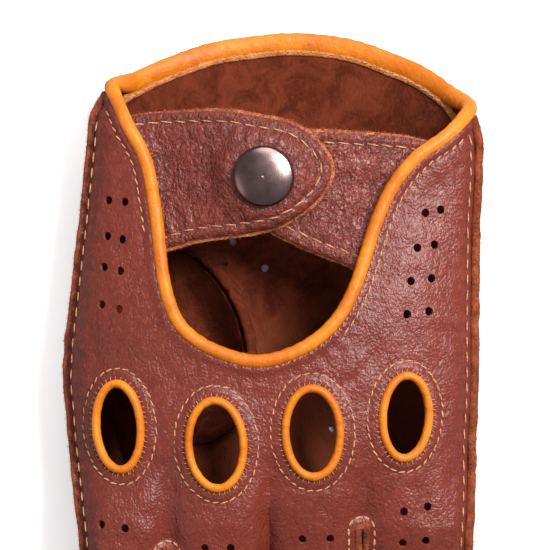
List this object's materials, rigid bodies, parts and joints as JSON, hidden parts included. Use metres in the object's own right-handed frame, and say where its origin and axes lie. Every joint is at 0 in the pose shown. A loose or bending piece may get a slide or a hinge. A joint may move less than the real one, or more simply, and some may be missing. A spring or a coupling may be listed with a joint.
{
  "type": "leather driving glove",
  "caption": "Left-hand leather driving glove, lying palm down, with an open wrist, bound knuckle holes and a snap strap; the strap tabs, fingers and thumb bend.",
  "frame": {"origin": "middle of the glove's box, on the surface it lies on", "axes": "+Z out of the back of the hand, +Y from the fingertips towards the wrist, +X towards the little finger"},
  "size_m": [0.1026, 0.2087, 0.0359],
  "materials": {
    "body_leather": "smooth aniline nappa",
    "suede_lining": "suede flesh side",
    "binding_leather": "smooth tan",
    "snap_metal": "dark polished gunmetal"
  },
  "bodies": {
    "hand": {"back_panel": "body_leather", "palm_panel": "body_leather", "wrist_binding": "binding_leather", "index_knuckle_binding": "binding_leather", "middle_knuckle_binding": "binding_leather", "ring_knuckle_binding": "binding_leather", "little_knuckle_binding": "binding_leather", "index_middle_crotch": "suede_lining", "middle_ring_crotch": "suede_lining", "ring_little_crotch": "suede_lining", "thumb_base": "body_leather", "strap_tab_root": "body_leather", "under_tab_root": "body_leather"},
    "strap_tab": {"strap_tab_leather": "body_leather", "strap_tab_lining": "suede_lining", "snap_cap": "snap_metal", "snap_socket": "snap_metal"},
    "under_tab": {"under_tab_leather": "body_leather", "under_tab_lining": "suede_lining", "snap_stud": "snap_metal", "snap_eyelet": "snap_metal"},
    "thumb": {"thumb_inner": "body_leather", "thumb_outer": "body_leather"},
    "index_base": {"index_back_base": "body_leather", "index_outer_fourchette_base": "suede_lining", "index_palm_base": "body_leather"},
    "index_tip": {"index_back_tip": "body_leather", "index_outer_fourchette_tip": "suede_lining", "index_palm_tip": "body_leather"},
    "middle_base": {"middle_back_base": "body_leather", "middle_inner_fourchette_base": "suede_lining", "middle_outer_fourchette_base": "suede_lining", "middle_palm_base": "body_leather"},
    "middle_tip": {"middle_back_tip": "body_leather", "middle_inner_fourchette_tip": "suede_lining", "middle_outer_fourchette_tip": "suede_lining", "middle_palm_tip": "body_leather"},
    "ring_base": {"ring_back_base": "body_leather", "ring_inner_fourchette_base": "suede_lining", "ring_outer_fourchette_base": "suede_lining", "ring_palm_base": "body_leather"},
    "ring_tip": {"ring_back_tip": "body_leather", "ring_inner_fourchette_tip": "suede_lining", "ring_outer_fourchette_tip": "suede_lining", "ring_palm_tip": "body_leather"},
    "little_base": {"little_back_base": "body_leather", "little_inner_fourchette_base": "suede_lining", "little_palm_base": "body_leather"},
    "little_tip": {"little_back_tip": "body_leather", "little_inner_fourchette_tip": "suede_lining", "little_palm_tip": "body_leather"}
  },
  "joints": [
    {"name": "strap_tab_hinge", "type": "hinge", "parent": "hand", "child": "strap_tab", "pos_m": [-0.0252, 0.0678, 0.027], "axis": [0.27, -0.9629, 0], "range_deg": [0, 110]},
    {"name": "under_tab_hinge", "type": "hinge", "parent": "hand", "child": "under_tab", "pos_m": [0.0253, 0.063, 0.0256], "axis": [0.43, 0.9028, 0], "range_deg": [-10, 0]},
    {"name": "index_base_flex", "type": "hinge", "parent": "hand", "child": "index_base", "pos_m": [-0.03553, -0.034, 0.0115], "axis": [1, 0, 0], "range_deg": [0, 70]},
    {"name": "index_mid_flex", "type": "hinge", "parent": "index_base", "child": "index_tip", "pos_m": [-0.03699, -0.063, 0.00442], "axis": [1, 0, 0], "range_deg": [0, 90]},
    {"name": "middle_base_flex", "type": "hinge", "parent": "hand", "child": "middle_base", "pos_m": [-0.01395, -0.034, 0.012], "axis": [1, 0, 0], "range_deg": [0, 70]},
    {"name": "middle_mid_flex", "type": "hinge", "parent": "middle_base", "child": "middle_tip", "pos_m": [-0.01416, -0.067, 0.00474], "axis": [1, 0, 0], "range_deg": [0, 90]},
    {"name": "ring_base_flex", "type": "hinge", "parent": "hand", "child": "ring_base", "pos_m": [0.00965, -0.034, 0.0085], "axis": [1, 0, 0], "range_deg": [0, 70]},
    {"name": "ring_mid_flex", "type": "hinge", "parent": "ring_base", "child": "ring_tip", "pos_m": [0.01039, -0.064, 0.0032], "axis": [1, 0, 0], "range_deg": [0, 90]},
    {"name": "little_base_flex", "type": "hinge", "parent": "hand", "child": "little_base", "pos_m": [0.0342, -0.034, 0.007], "axis": [1, 0, 0], "range_deg": [0, 70]},
    {"name": "little_mid_flex", "type": "hinge", "parent": "little_base", "child": "little_tip", "pos_m": [0.037, -0.056, 0.00242], "axis": [1, 0, 0], "range_deg": [0, 90]},
    {"name": "thumb_swing", "type": "hinge", "parent": "hand", "child": "thumb", "pos_m": [-0.0135, -0.0001, 0], "axis": [-0.9368, -0.3499, 0], "range_deg": [-50, 0]}
  ]
}
